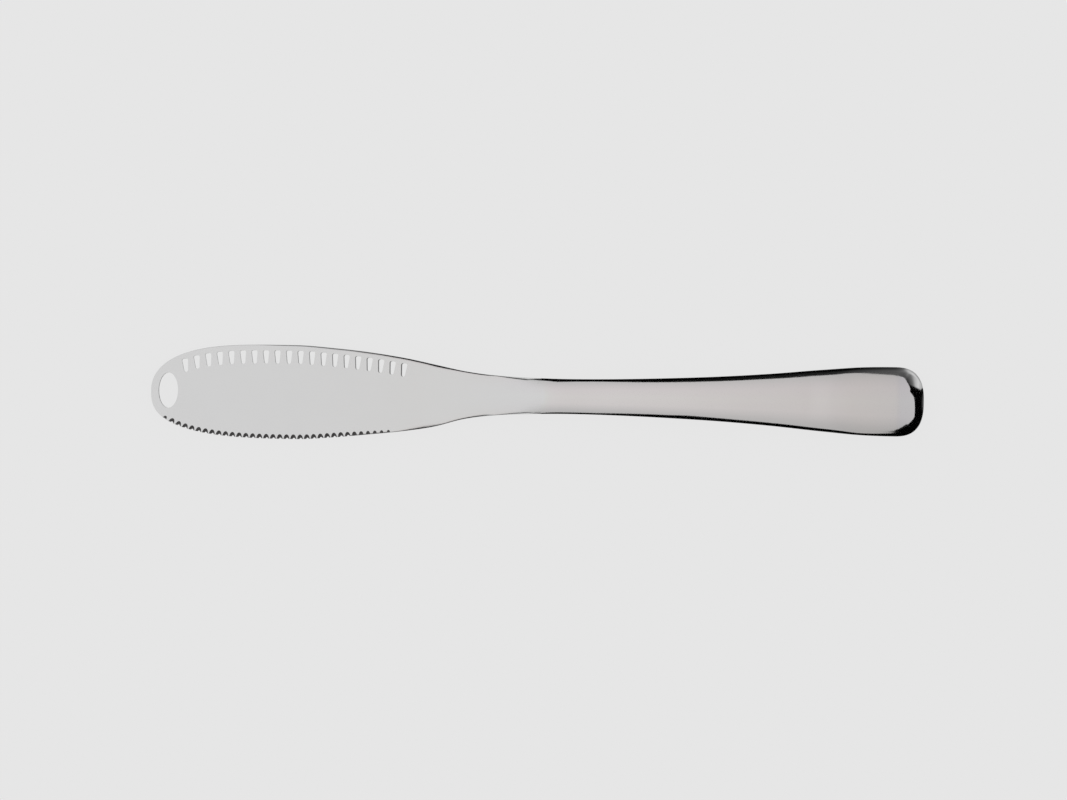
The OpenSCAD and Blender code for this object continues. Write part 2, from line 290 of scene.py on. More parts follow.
def half_w(s, inset=0.0):
    """Half of the width at a distance s from the tip, drawn in by inset, on the edge's side."""
    s = np.asarray(s, float)
    nose = nose_half_w(s, EDGE_NOSE_POWER, EDGE_NOSE_SIDE_POWER)
    flare = curve_share(FLARE_SHARES, kept((s - WAIST_AT) / (WIDEST_AT - WAIST_AT)))
    butt = (1 - kept((s - WIDEST_AT) / (BUTT_L - inset)) ** BUTT_POWER) ** (1 / BUTT_POWER)
    return np.select(
        [s < NOSE_L, s < WAIST_AT, s < WIDEST_AT],
        [
            nose,
            taper_half_w(s, EDGE_TAPER_SHARES) - inset,
            (WAIST_W + (HANDLE_W - WAIST_W) * flare) / 2 - inset,
        ],
        (HANDLE_W / 2 - inset) * butt,
    )


def spine_half_w(s):
    """The same on the spine's side, where the nose is fuller and the blade narrows sooner."""
    return np.select(
        [s < NOSE_L, s < WAIST_AT],
        [
            nose_half_w(s, SPINE_NOSE_POWER, SPINE_NOSE_SIDE_POWER),
            taper_half_w(s, SPINE_TAPER_SHARES),
        ],
        half_w(s),
    )


def half_t(s, inset, land):
    """Half of the thickness at a distance s from the tip, drawn in by inset, down to the land."""
    s = np.asarray(s, float)
    along = kept((np.minimum(s, THICKEST_AT) - FLAT_L) / (THICKEST_AT - FLAT_L))
    swell = (BLADE_T + (HANDLE_T - BLADE_T) * curve_share(SWELL_SHARES, along)) / 2
    beyond = kept((s - ROUND_AT) / (BUTT_ROUND - inset))
    return swell - inset - (swell - inset - land) * beyond ** BUTT_SIDE_POWER


def dome_height(y_share, top, land):
    """Height of the domed section above the middle plane, at a share of its half width."""
    share = kept(np.abs(y_share))
    shoulder = kept((share - 1 + SHOULDER_SHARE) / SHOULDER_SHARE)
    fall = CROWN_FALL_SHARE * share**2 + (1 - CROWN_FALL_SHARE) * shoulder**2
    land = np.minimum(land, top)
    return land + (top - land) * (1 - fall)


# Making and finishing meshes

def srgb(hex_colour):
    """Linear colour of an sRGB hex value."""
    channels = [int(hex_colour[i:i + 2], 16) / 255 for i in (1, 3, 5)]
    return tuple(
        c / 12.92 if c <= 0.04045 else ((c + 0.055) / 1.055) ** 2.4 for c in channels
    ) + (1.0,)


def new_object(name, points_mm, faces):
    """A mesh object at the origin from points in millimetres measured from the blade's tip."""
    place = np.array(points_mm, float) - np.array([KNIFE_L / 2, 0, -MID_Z])
    mesh = bpy.data.meshes.new(name)
    mesh.from_pydata((place * MM).tolist(), [], [tuple(int(i) for i in f) for f in faces])
    mesh.validate()
    mesh.update()
    piece = bpy.data.objects.new(name, mesh)
    bpy.context.scene.collection.objects.link(piece)
    return piece


def close_up(piece, sharp_angle):
    """Merges doubles, turns the faces outward and smooths all but the sharp edges."""
    work = bmesh.new()
    work.from_mesh(piece.data)
    bmesh.ops.remove_doubles(work, verts=work.verts, dist=DOUBLES_M)
    bmesh.ops.dissolve_degenerate(work, edges=work.edges, dist=SLIVERS_M)
    bmesh.ops.recalc_face_normals(work, faces=work.faces)
    work.to_mesh(piece.data)
    work.free()
    piece.data.shade_smooth()
    piece.data.set_sharp_from_angle(angle=math.radians(sharp_angle))


def add_node(tree, kind, settings=None, inputs=None):
    """One node, with its settings, and its inputs: a value, a node's output or a list of them."""
    node = tree.nodes.new(kind)
    for key, value in (settings or {}).items():
        setattr(node, key, value)
    for key, value in (inputs or {}).items():
        for source in value if isinstance(value, list) else [value]:
            if isinstance(source, bpy.types.NodeSocket):
                tree.links.new(source, node.inputs[key])
            else:
                node.inputs[key].default_value = source
    return node


# Steel and cement

def polished_stainless(name, rough_low, rough_high, line_mm, line_lift):
    """Stainless steel buffed along its length: nearly even, with cloudy buffing and fine lines."""
    steel = bpy.data.materials.new(name)
    steel.use_nodes = True
    tree = steel.node_tree
    shader = tree.nodes["Principled BSDF"]
    shader.inputs["Metallic"].default_value = 1.0
    place = add_node(tree, "ShaderNodeTexCoord").outputs["Object"]
    # Buffing leaves clouds about 12 mm across, which are only just seen in the sheen
    cloud = add_node(
        tree, "ShaderNodeTexNoise",
        inputs={"Vector": place, "Scale": 1 / (12 * MM), "Detail": 3.0, "Roughness": 0.55},
    )
    tint = add_node(
        tree, "ShaderNodeMix", {"data_type": "RGBA"},
        {"Factor": cloud.outputs["Fac"], 6: srgb(STEEL_CLOUD), 7: srgb(STEEL_CLEAR)},
    )
    tree.links.new(tint.outputs[2], shader.inputs["Base Color"])
    # The buffing lines run along the knife, about 25 mm long
    along = add_node(
        tree, "ShaderNodeMapping",
        inputs={"Vector": place, "Scale": (1 / (25 * MM), 1 / (line_mm * MM), 1 / (line_mm * MM))},
    )
    lines = add_node(
        tree, "ShaderNodeTexNoise",
        inputs={"Vector": along.outputs["Vector"], "Scale": 1.0, "Detail": 2.0, "Roughness": 0.6},
    )
    worn = add_node(
        tree, "ShaderNodeMapRange",
        inputs={
            "Value": lines.outputs["Fac"], "From Min": 0.3, "From Max": 0.7,
            "To Min": rough_low, "To Max": rough_high,
        },
    )
    tree.links.new(worn.outputs["Result"], shader.inputs["Roughness"])
    lift = add_node(
        tree, "ShaderNodeBump",
        inputs={"Height": lines.outputs["Fac"], "Distance": line_lift * MM, "Strength": 1.0},
    )
    tree.links.new(lift.outputs["Normal"], shader.inputs["Normal"])
    return steel


def ground_stainless_painted_dark(name):
    """The walls of slots and the serrations, left as ground: dull, with grinding marks, and
    painted dark, a painted shade much darker than ground steel.
    """
    steel = bpy.data.materials.new(name)
    steel.use_nodes = True
    tree = steel.node_tree
    shader = tree.nodes["Principled BSDF"]
    shader.inputs["Metallic"].default_value = 1.0
    place = add_node(tree, "ShaderNodeTexCoord").outputs["Object"]
    # Grinding marks run down the walls, 0.15 mm apart
    down = add_node(
        tree, "ShaderNodeMapping",
        inputs={"Vector": place, "Scale": (1 / (0.15 * MM), 1 / (0.15 * MM), 1 / (1.5 * MM))},
    )
    marks = add_node(
        tree, "ShaderNodeTexNoise",
        inputs={"Vector": down.outputs["Vector"], "Scale": 1.0, "Detail": 2.0, "Roughness": 0.6},
    )
    # The two tints are painted shade, nearly black, standing in for the shade on the cut walls and
    # bevels; the grinding marks vary the tone between them
    tint = add_node(
        tree, "ShaderNodeMix", {"data_type": "RGBA"},
        {"Factor": marks.outputs["Fac"], 6: srgb("#3A3838"), 7: srgb("#626060")},
    )
    tree.links.new(tint.outputs[2], shader.inputs["Base Color"])
    dull = add_node(
        tree, "ShaderNodeMapRange",
        inputs={"Value": marks.outputs["Fac"], "To Min": 0.32, "To Max": 0.5},
    )
    tree.links.new(dull.outputs["Result"], shader.inputs["Roughness"])
    lift = add_node(
        tree, "ShaderNodeBump",
        inputs={"Height": marks.outputs["Fac"], "Distance": 0.01 * MM, "Strength": 1.0},
    )
    tree.links.new(lift.outputs["Normal"], shader.inputs["Normal"])
    return steel


def cast_cement(name):
    """Handle cement: a chalky grey filling with sandy grains and small pits."""
    cement = bpy.data.materials.new(name)
    cement.use_nodes = True
    tree = cement.node_tree
    shader = tree.nodes["Principled BSDF"]
    shader.inputs["Roughness"].default_value = 0.9
    place = add_node(tree, "ShaderNodeTexCoord").outputs["Object"]
    # Sand of about 0.4 mm in the mix
    grain = add_node(
        tree, "ShaderNodeTexNoise",
        inputs={"Vector": place, "Scale": 1 / (0.4 * MM), "Detail": 4.0, "Roughness": 0.6},
    )
    tint = add_node(
        tree, "ShaderNodeMix", {"data_type": "RGBA"},
        {"Factor": grain.outputs["Fac"], 6: srgb("#8B867C"), 7: srgb("#B5B0A5")},
    )
    tree.links.new(tint.outputs[2], shader.inputs["Base Color"])
    # Pits of about 1 mm, where air was caught against the shells
    pits = add_node(
        tree, "ShaderNodeTexVoronoi", inputs={"Vector": place, "Scale": 1 / (2.5 * MM)},
    )
    hollow = add_node(
        tree, "ShaderNodeMapRange",
        inputs={"Value": pits.outputs["Distance"], "From Min": 0.1, "From Max": 0.25},
    )
    height = add_node(
        tree, "ShaderNodeMath", {"operation": "ADD"},
        {0: hollow.outputs["Result"], 1: grain.outputs["Fac"]},
    )
    lift = add_node(
        tree, "ShaderNodeBump",
        inputs={"Height": height.outputs["Value"], "Distance": 0.15 * MM, "Strength": 0.8},
    )
    tree.links.new(lift.outputs["Normal"], shader.inputs["Normal"])
    return cement


# The blade is satin polished, so it shows an even pale tone, and the handle is polished to a
# mirror, so it shows the studio's flags as sharp black rims
blade_polish = polished_stainless(
    "satin_polished_stainless_blade", rough_low=0.12, rough_high=0.17, line_mm=0.35,
    line_lift=0.0006,
)
handle_polish = polished_stainless(
    "mirror_polished_stainless_handle", rough_low=0.04, rough_high=0.07, line_mm=0.5,
    line_lift=0.0003,
)
ground_painted_shade_finish = ground_stainless_painted_dark("ground_stainless_cuts_painted_shade")
cement_finish = cast_cement("cast_handle_cement")


# The knife's sections, from the +Y edge over the top to the -Y edge

def rows_across(edge_rows, face_rows, edge_band, w):
    """Distances from the middle, closest together at the two edges."""
    band = min(edge_band, BAND_MOST_SHARE * w)
    strip = w - band * np.linspace(0, 1, edge_rows) ** 2
    face = np.linspace(w - band, -(w - band), face_rows + 2)[1:-1]
    return np.concatenate([strip, face, -strip[::-1]])


def section_top(s, across, inset=0.0, land=RIM_LAND / 2, eased=False):
    """Heights of the section's upper side at distances across it, with or without eased edges."""
    w = max(float(half_w(s, inset)), LEAST_HALF_W)
    top = float(half_t(s, inset, land))
    z = dome_height(across / w, top, land)
    if eased:
        spine, edge = (float(np.interp(s, *zip(*rows))) for rows in (SPINE_EASE, EDGE_EASE))
        ease = np.where(across > 0, spine, edge)
        z = z - EDGE_EASE_FALL * ease * kept(1 - (w - np.abs(across)) / ease) ** 2
    return z


def blade_ring(s):
    """A closed ring round the blade or neck."""
    land = BLADE_T / 2 + (RIM_LAND - BLADE_T) / 2 * float(
        kept((s - FLAT_L) / (COLLAR_AT - FLAT_L))
    )
    across = rows_across(*BLADE_ROWS, float(half_w(s)))
    z = section_top(s, across, land=land, eased=True)
    fuller = float(spine_half_w(s) / max(half_w(s), LEAST_HALF_W))
    over = [(s, y * fuller if y > 0 else y, h) for y, h in zip(across, z)]
    return over + [(s, y, -h) for s, y, h in reversed(over)]


def inner_ring(s, w, top, share):
    """A ring with the blade's count of points: the spigot's or the tang's section."""
    over = [(s, w * y, top * h) for y, h in share]
    return over + [(s, y, -h) for s, y, h in reversed(over)]


def make_blade():
    nose = NOSE_L * np.linspace(0, 1, NOSE_RINGS)[:-1] ** NOSE_RING_POWER
    flat = np.linspace(NOSE_L, FLAT_L, FLAT_RINGS)[:-1]
    neck = np.linspace(FLAT_L, COLLAR_AT, NECK_RINGS)
    rings = [blade_ring(float(s)) for s in np.concatenate([nose, flat, neck])]
    # Behind the neck, the spigot fits the mouth of the handle and carries the tang
    inset = SHELL_WALL + SPIGOT_CLEARANCE
    mouth_w = float(half_w(COLLAR_AT, inset))
    mouth_across = rows_across(*BLADE_ROWS, mouth_w)
    mouth_z = section_top(COLLAR_AT, mouth_across, inset, INNER_LAND / 2)
    mouth_t = mouth_z.max()
    spigot_share = list(zip(mouth_across / mouth_w, mouth_z / mouth_t))
    tang_share = [(y, 1.0) for y, h in spigot_share]
    spigot_end = COLLAR_AT + SPIGOT_L
    rings += [
        inner_ring(COLLAR_AT, mouth_w, mouth_t, spigot_share),
        inner_ring(spigot_end, mouth_w, mouth_t, spigot_share),
        inner_ring(spigot_end, TANG_W / 2, TANG_T / 2, tang_share),
        inner_ring(spigot_end + TANG_L, TANG_W / 2, TANG_T / 2, tang_share),
    ]
    n = len(rings[0])
    faces = []
    for i in range(len(rings) - 1):
        for k in range(n):
            a, b = i * n + k, i * n + (k + 1) % n
            faces.append((a, a + n, b + n, b))
    last = (len(rings) - 1) * n
    for k in range(n // 2 - 1):
        faces.append((last + k, last + n - 1 - k, last + n - 2 - k, last + k + 1))
        faces.append((k, k + 1, n - 2 - k, n - 1 - k))
    piece = new_object("slotted_serrated_blade", [p for r in rings for p in r], faces)
    close_up(piece, BLADE_SHARP)
    return piece


def make_shell(name, side):
    """Half of the pressed handle: a domed wall with its edge on the middle plane."""
    def stations(inset):
        run = np.linspace(COLLAR_AT, WIDEST_AT, HANDLE_RINGS)
        turn = np.sin(np.linspace(0, math.pi / 2, BUTT_RINGS)[1:])
        return np.concatenate([run, WIDEST_AT + (BUTT_L - inset) * BUTT_END_SHARE * turn])

    def rings(inset):
        for s in stations(inset):
            w = max(float(half_w(s, inset)), LEAST_HALF_W)
            across = rows_across(*SHELL_ROWS, w)
            z = section_top(s, across, inset, (INNER_LAND if inset else RIM_LAND) / 2)
            # The outer wall's edge is broken a little, so that the seam shows as a fine line
            foot = w - SEAM_BREAK if inset == 0 and w > SEAM_HALF_W else w
            rise = min(SEAM_BREAK, z[0])
            yield (
                [(s, foot, 0.0), (s, w, rise)]
                + [(s, y, h) for y, h in zip(across, z)]
                + [(s, -w, rise), (s, -foot, 0.0)]
            )

    outer, inner = list(rings(0.0)), list(rings(SHELL_WALL))
    n, count = len(outer[0]), len(outer)
    within = count * n
    faces = []
    for i in range(count - 1):
        for k in range(n - 1):
            a = i * n + k
            faces.append((a, a + n, a + n + 1, a + 1))
            faces.append((a + within, a + 1 + within, a + n + 1 + within, a + n + within))
        for a in (i * n, i * n + n - 1):
            faces.append((a, a + n, a + n + within, a + within))
    for k in range(n - 1):
        faces.append((k, k + 1, k + 1 + within, k + within))
    # The two walls end in poles at the butt, joined by a strip on the middle plane
    far = (count - 1) * n
    faces.append((far, far + n - 1, far + n - 1 + within, far + within))
    points = [(s, y, side * z) for ring in outer + inner for s, y, z in ring]
    piece = new_object(name, points, faces)
    close_up(piece, SHELL_SHARP)
    return piece


# Cutting the hanging hole, the slots and the serrations

def points_line(name, places, turns, shares, through):
    """Loose points on the middle plane, one for each cut, that say how it is turned and sized."""
    line = new_object(name, [(s, y, 0) for s, y in places], [])
    for key, values in (("turn", turns), ("share", shares), ("through", through)):
        line.data.attributes.new(key, "FLOAT", "POINT").data.foreach_set("value", values)
    return line


def slot_line():
    index = np.arange(SLOT_COUNT)
    s = SLOT_FIRST_AT + index * SLOT_PITCH
    lean = np.radians(SLOT_LEAN) * (1 - 2 * index / (SLOT_COUNT - 1))
    return points_line(
        "slot_line", list(zip(s, spine_half_w(s) - SLOT_MARGIN)), lean,
        SLOT_FIRST_TILT_SHARE
        + (1 - SLOT_FIRST_TILT_SHARE) * (index / (SLOT_COUNT - 1)) ** SLOT_TILT_POWER,
        np.ones(SLOT_COUNT),
    )


def notch_line():
    index = np.arange(NOTCH_COUNT)
    s = NOTCH_FIRST_AT + index * NOTCH_PITCH
    turn = np.arctan2(half_w(s - NOTCH_PITCH) - half_w(s + NOTCH_PITCH), 2 * NOTCH_PITCH)
    from_last = NOTCH_COUNT - 1 - index
    fade = kept(np.minimum(from_last / NOTCH_FADE_COUNT, index + NOTCH_FIRST_FADE))
    return points_line(
        "notch_line", list(zip(s, -half_w(s))), turn,
        NOTCH_FADE_SHARE + (1 - NOTCH_FADE_SHARE) * fade,
        (index > 0) & (from_last >= NOTCH_BLIND_COUNT),
    )


def pierce_and_grind_tree():
    """Punches the hole and the slots through a blade, and grinds the serrations into it."""
    tree = bpy.data.node_groups.new("pierce_and_grind", "GeometryNodeTree")
    tree.is_modifier = True
    face = tree.interface
    face.new_socket("Geometry", in_out="INPUT", socket_type="NodeSocketGeometry")
    face.new_socket("Geometry", in_out="OUTPUT", socket_type="NodeSocketGeometry")
    for name in (
        "Cut height", "Hole length", "Hole width", "Hole lean", "Slot length", "Slot width",
        "Slot foot width", "Slot corner radius", "Slot tilt", "Notch depth", "Notch width",
        "Notch top width", "Notch shift", "Bevel depth", "Bevel width", "Bevel top width",
        "Bevel lean", "Bevel height",
    ):
        face.new_socket(name, in_out="INPUT", socket_type="NodeSocketFloat")
    face.new_socket("Hole place", in_out="INPUT", socket_type="NodeSocketVector")
    for name in ("Slot line", "Notch line"):
        face.new_socket(name, in_out="INPUT", socket_type="NodeSocketObject")
    for name in ("Polished steel", "Ground steel"):
        face.new_socket(name, in_out="INPUT", socket_type="NodeSocketMaterial")
    given = tree.nodes.new("NodeGroupInput").outputs

    def made(kind, settings=None, inputs=None):
        """The first output of a new node of this tree."""
        return add_node(tree, kind, settings, inputs).outputs[0]

    def punch(curve):
        """A closed prism of a curve's outline, half above and half below the middle plane."""
        flat = made("GeometryNodeFillCurve", {"mode": "NGONS"}, {"Curve": curve})
        raised = made(
            "GeometryNodeExtrudeMesh", {"mode": "FACES"},
            {"Mesh": flat, "Offset Scale": given["Cut height"], "Individual": False},
        )
        under = made("GeometryNodeFlipFaces", inputs={"Mesh": flat})
        both = made("GeometryNodeJoinGeometry", inputs={0: [raised, under]})
        closed = made(
            "GeometryNodeMergeByDistance", inputs={"Geometry": both, "Distance": SLIVERS_M}
        )
        drop = made("ShaderNodeMath", {"operation": "MULTIPLY"}, {0: given["Cut height"], 1: -0.5})
        down = made("ShaderNodeCombineXYZ", inputs={2: drop})
        lowered = made("GeometryNodeTransform", inputs={"Geometry": closed, "Translation": down})
        return made(
            "GeometryNodeSetMaterial",
            inputs={"Geometry": lowered, "Material": given["Ground steel"]},
        )

    def row_of(shape, line, turn_y=0.0, sized=False, through=False):
        """The shape at each point of a line, turned and sized as that point says."""
        points = add_node(
            tree, "GeometryNodeObjectInfo", {"transform_space": "ORIGINAL"}, {"Object": line}
        ).outputs["Geometry"]
        turn, share, pierced = (
            made("GeometryNodeInputNamedAttribute", {"data_type": "FLOAT"}, {"Name": name})
            for name in ("turn", "share", "through")
        )
        tilt = made("ShaderNodeMath", {"operation": "MULTIPLY"}, {0: turn_y, 1: share})
        row = {
            "Points": points, "Instance": shape,
            "Rotation": made("ShaderNodeCombineXYZ", inputs={1: tilt, 2: turn}),
        }
        if sized:
            row["Scale"] = made("ShaderNodeCombineXYZ", inputs={0: share, 1: share, 2: 1.0})
        if through:
            row["Selection"] = made(
                "FunctionNodeCompare", {"operation": "GREATER_THAN"}, {0: pierced, 1: 0.5}
            )
        placed = made("GeometryNodeInstanceOnPoints", inputs=row)
        return made("GeometryNodeRealizeInstances", inputs={0: placed})

    # Hanging hole
    circle = made(
        "GeometryNodeCurvePrimitiveCircle", {"mode": "RADIUS"},
        {"Resolution": HOLE_SIDES, "Radius": 0.5},
    )
    spread = made(
        "ShaderNodeCombineXYZ",
        inputs={0: given["Hole length"], 1: given["Hole width"], 2: 1.0},
    )
    oval = made("GeometryNodeTransform", inputs={"Geometry": circle, "Scale": spread})
    hole = made(
        "GeometryNodeTransform",
        inputs={
            "Geometry": punch(oval), "Translation": given["Hole place"],
            "Rotation": made("ShaderNodeCombineXYZ", inputs={1: given["Hole lean"]}),
        },
    )

    # Slots: wide and round-cornered outside, narrow and round at the foot
    outline = made(
        "GeometryNodeCurvePrimitiveQuadrilateral", {"mode": "TRAPEZOID"},
        {
            "Height": given["Slot length"], "Bottom Width": given["Slot foot width"],
            "Top Width": given["Slot width"], "Offset": 0.0,
        },
    )
    place = made("GeometryNodeInputPosition")
    height = add_node(tree, "ShaderNodeSeparateXYZ", inputs={0: place}).outputs[1]
    outer = made("FunctionNodeCompare", {"operation": "GREATER_THAN"}, {0: height, 1: 0.0})
    foot_round = made(
        "ShaderNodeMath", {"operation": "MULTIPLY"},
        {0: given["Slot foot width"], 1: SLOT_FOOT_ROUND_SHARE},
    )
    round_off = made(
        "GeometryNodeSwitch", {"input_type": "FLOAT"},
        {"Switch": outer, "False": foot_round, "True": given["Slot corner radius"]},
    )
    rounded = made(
        "GeometryNodeFilletCurve", {"mode": "POLY"},
        {"Curve": outline, "Count": SLOT_CORNER_STEPS, "Radius": round_off, "Limit Radius": True},
    )
    half_down = made(
        "ShaderNodeMath", {"operation": "MULTIPLY"}, {0: given["Slot length"], 1: -0.5}
    )
    hung = made(
        "GeometryNodeTransform",
        inputs={
            "Geometry": rounded,
            "Translation": made("ShaderNodeCombineXYZ", inputs={1: half_down}),
        },
    )
    slots = row_of(punch(hung), given["Slot line"], turn_y=given["Slot tilt"])

    def arch(depth, width, top_width):
        """A round-topped wedge of a width at the edge, carried on as far again outward."""
        flare = made("ShaderNodeMath", {"operation": "SUBTRACT"}, {0: width, 1: top_width})
        wedge = made(
            "GeometryNodeCurvePrimitiveQuadrilateral", {"mode": "TRAPEZOID"},
            {
                "Height": made("ShaderNodeMath", {"operation": "MULTIPLY"}, {0: depth, 1: 2.0}),
                "Bottom Width": top_width,
                "Top Width": made(
                    "ShaderNodeMath", {"operation": "MULTIPLY_ADD"},
                    {0: flare, 1: 2.0, 2: top_width},
                ),
                "Offset": 0.0,
            },
        )
        inner = made("FunctionNodeCompare", {"operation": "LESS_THAN"}, {0: height, 1: 0.0})
        top_round = made(
            "GeometryNodeSwitch", {"input_type": "FLOAT"},
            {"Switch": inner, "False": 0.0, "True": top_width},
        )
        smooth = made(
            "GeometryNodeFilletCurve", {"mode": "POLY"},
            {
                "Curve": wedge, "Count": ARCH_CORNER_STEPS, "Radius": top_round,
                "Limit Radius": True,
            },
        )
        return made(
            "GeometryNodeTransform",
            inputs={"Geometry": smooth, "Rotation": (0.0, 0.0, math.pi)},
        )

    # Serrations: the grinding wheel leaves a slanting bevel, and a notch goes right through
    bevel = punch(arch(given["Bevel depth"], given["Bevel width"], given["Bevel top width"]))
    inward = made(
        "ShaderNodeMath", {"operation": "MULTIPLY"}, {0: given["Bevel depth"], 1: -1.0}
    )
    for change, place_or_turn in (
        ("Translation", {1: inward}),
        ("Rotation", {0: given["Bevel lean"]}),
        ("Translation", {1: given["Bevel depth"], 2: given["Bevel height"]}),
    ):
        amount = made("ShaderNodeCombineXYZ", inputs=place_or_turn)
        bevel = made("GeometryNodeTransform", inputs={"Geometry": bevel, change: amount})
    bevels = row_of(bevel, given["Notch line"], sized=True)
    notch = punch(arch(given["Notch depth"], given["Notch width"], given["Notch top width"]))
    aside = made("ShaderNodeCombineXYZ", inputs={0: given["Notch shift"]})
    notch = made("GeometryNodeTransform", inputs={"Geometry": notch, "Translation": aside})
    notches = row_of(notch, given["Notch line"], through=True)

    pierced = made(
        "GeometryNodeMeshBoolean", {"operation": "DIFFERENCE", "solver": "EXACT"},
        {
            "Mesh 1": given["Geometry"], "Mesh 2": [hole, slots, bevels, notches],
            "Self Intersection": True,
        },
    )
    ground = made("GeometryNodeMaterialSelection", inputs={"Material": given["Ground steel"]})
    left = made("FunctionNodeBooleanMath", {"operation": "NOT"}, {0: ground})
    whole = made("GeometryNodeRealizeInstances", inputs={0: pierced})
    finished = made(
        "GeometryNodeSetMaterial",
        inputs={"Geometry": whole, "Selection": left, "Material": given["Polished steel"]},
    )
    tree.links.new(finished, tree.nodes.new("NodeGroupOutput").inputs[0])
    return tree


def pierce_and_grind(piece):
    """Runs the tree on a blade and leaves a plain mesh."""
    tree = pierce_and_grind_tree()
    guides = [slot_line(), notch_line()]
    sizes = {
        "Cut height": CUT_HEIGHT * MM,
        "Hole length": HOLE_L * MM,
        "Hole width": HOLE_W * MM,
        "Hole lean": math.radians(-HOLE_TILT),
        "Hole place": ((HOLE_MARGIN + HOLE_L / 2 - KNIFE_L / 2) * MM, 0, MID_Z * MM),
        "Slot length": SLOT_L * MM,
        "Slot width": SLOT_W * MM,
        "Slot foot width": SLOT_FOOT_W * MM,
        "Slot corner radius": SLOT_CORNER_R * MM,
        "Slot tilt": math.radians(-SLOT_TILT),
        "Notch depth": NOTCH_DEPTH * MM,
        "Notch width": NOTCH_WIDTH * MM,
        "Notch top width": NOTCH_TOP_WIDTH * MM,
        "Notch shift": NOTCH_SHIFT * MM,
        "Bevel depth": BEVEL_DEPTH * MM,
        "Bevel width": BEVEL_WIDTH * MM,
        "Bevel top width": BEVEL_TOP_WIDTH * MM,
        "Bevel lean": math.radians(-BEVEL_LEAN),
        "Bevel height": BLADE_T / 2 * MM,
        "Slot line": guides[0],
        "Notch line": guides[1],
        "Polished steel": blade_polish,
        "Ground steel": ground_painted_shade_finish,
    }
    grind = piece.modifiers.new("pierce_and_grind", "NODES")
    grind.node_group = tree
    for item in tree.interface.items_tree:
        if item.in_out == "INPUT" and item.name in sizes:
            grind[item.identifier] = sizes[item.name]
    ready = piece.evaluated_get(bpy.context.evaluated_depsgraph_get())
    worked = bpy.data.meshes.new_from_object(ready)
    piece.modifiers.remove(grind)
    piece.data = worked
    for guide in guides:
        bpy.data.objects.remove(guide)
    return piece


# Pieces

blade = pierce_and_grind(make_blade())
blade.data.set_sharp_from_angle(angle=math.radians(BLADE_SHARP))
upper = make_shell("pressed_upper_handle", 1)
lower = make_shell("pressed_lower_handle", -1)
for shell in (upper, lower):
    shell.data.materials.append(handle_polish)
for piece, node, slot in (
    (blade, "blade", "blade_steel"),
    (upper, "handle_upper_shell", "handle_steel"),
    (lower, "handle_lower_shell", "handle_steel"),
):
    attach(piece, "root")
    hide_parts(node)
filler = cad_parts["handle_filler"]
filler.data.materials.clear()
filler.data.materials.append(cement_finish)


# Studio: pale table, pale surround, and black flags that draw the knife's rims, with painted glows
# on them that the steel mirrors as painted highlights

def opal_table(name):
    """The opal top of a light table: matt and pale, with its own even light."""
    opal = bpy.data.materials.new(name)
    opal.use_nodes = True
    shader = opal.node_tree.nodes["Principled BSDF"]
    shader.inputs["Base Color"].default_value = srgb(TABLE_GREY)
    shader.inputs["Roughness"].default_value = 1.0
    shader.inputs["Specular IOR Level"].default_value = 0.0
    shader.inputs["Emission Color"].default_value = srgb("#FFFFFF")
    shader.inputs["Emission Strength"].default_value = TABLE_GLOW
    return opal


def painted_glow_flag(name):
    """Black velvet that its own table of glows grades to grey, and to white for a side light: the
    glows are painted light, seen only in the steel's reflection.
    """
    card = bpy.data.materials.new(name)
    card.use_nodes = True
    tree = card.node_tree
    shader = tree.nodes["Principled BSDF"]
    shader.inputs["Base Color"].default_value = srgb("#000000")
    shader.inputs["Specular IOR Level"].default_value = 0.0
    shader.inputs["Emission Color"].default_value = srgb("#FFFFFF")
    glow = add_node(tree, "ShaderNodeAttribute", {"attribute_name": "glow"})
    tree.links.new(glow.outputs["Fac"], shader.inputs["Emission Strength"])
    return card


def table():
    turns = [math.tau * k / TABLE_SIDES for k in range(TABLE_SIDES)]
    rim = [(KNIFE_L / 2 + TABLE_R * math.cos(t), TABLE_R * math.sin(t), -MID_Z) for t in turns]
    piece = new_object("table_top", rim, [range(TABLE_SIDES)])
    piece.data.materials.append(opal_table("opal_light_table"))


def butt_rim_spot(turn):
    """The middle of the black band on the butt's rim, where the rim faces a bearing."""
    power = 2 / BUTT_POWER
    return np.array((
        WIDEST_AT + (BUTT_L - RIM_BAND) * math.cos(turn) ** power,
        (HANDLE_W / 2 - RIM_BAND) * math.copysign(abs(math.sin(turn)) ** power, turn),
        RIM_LAND / 2,
    ))


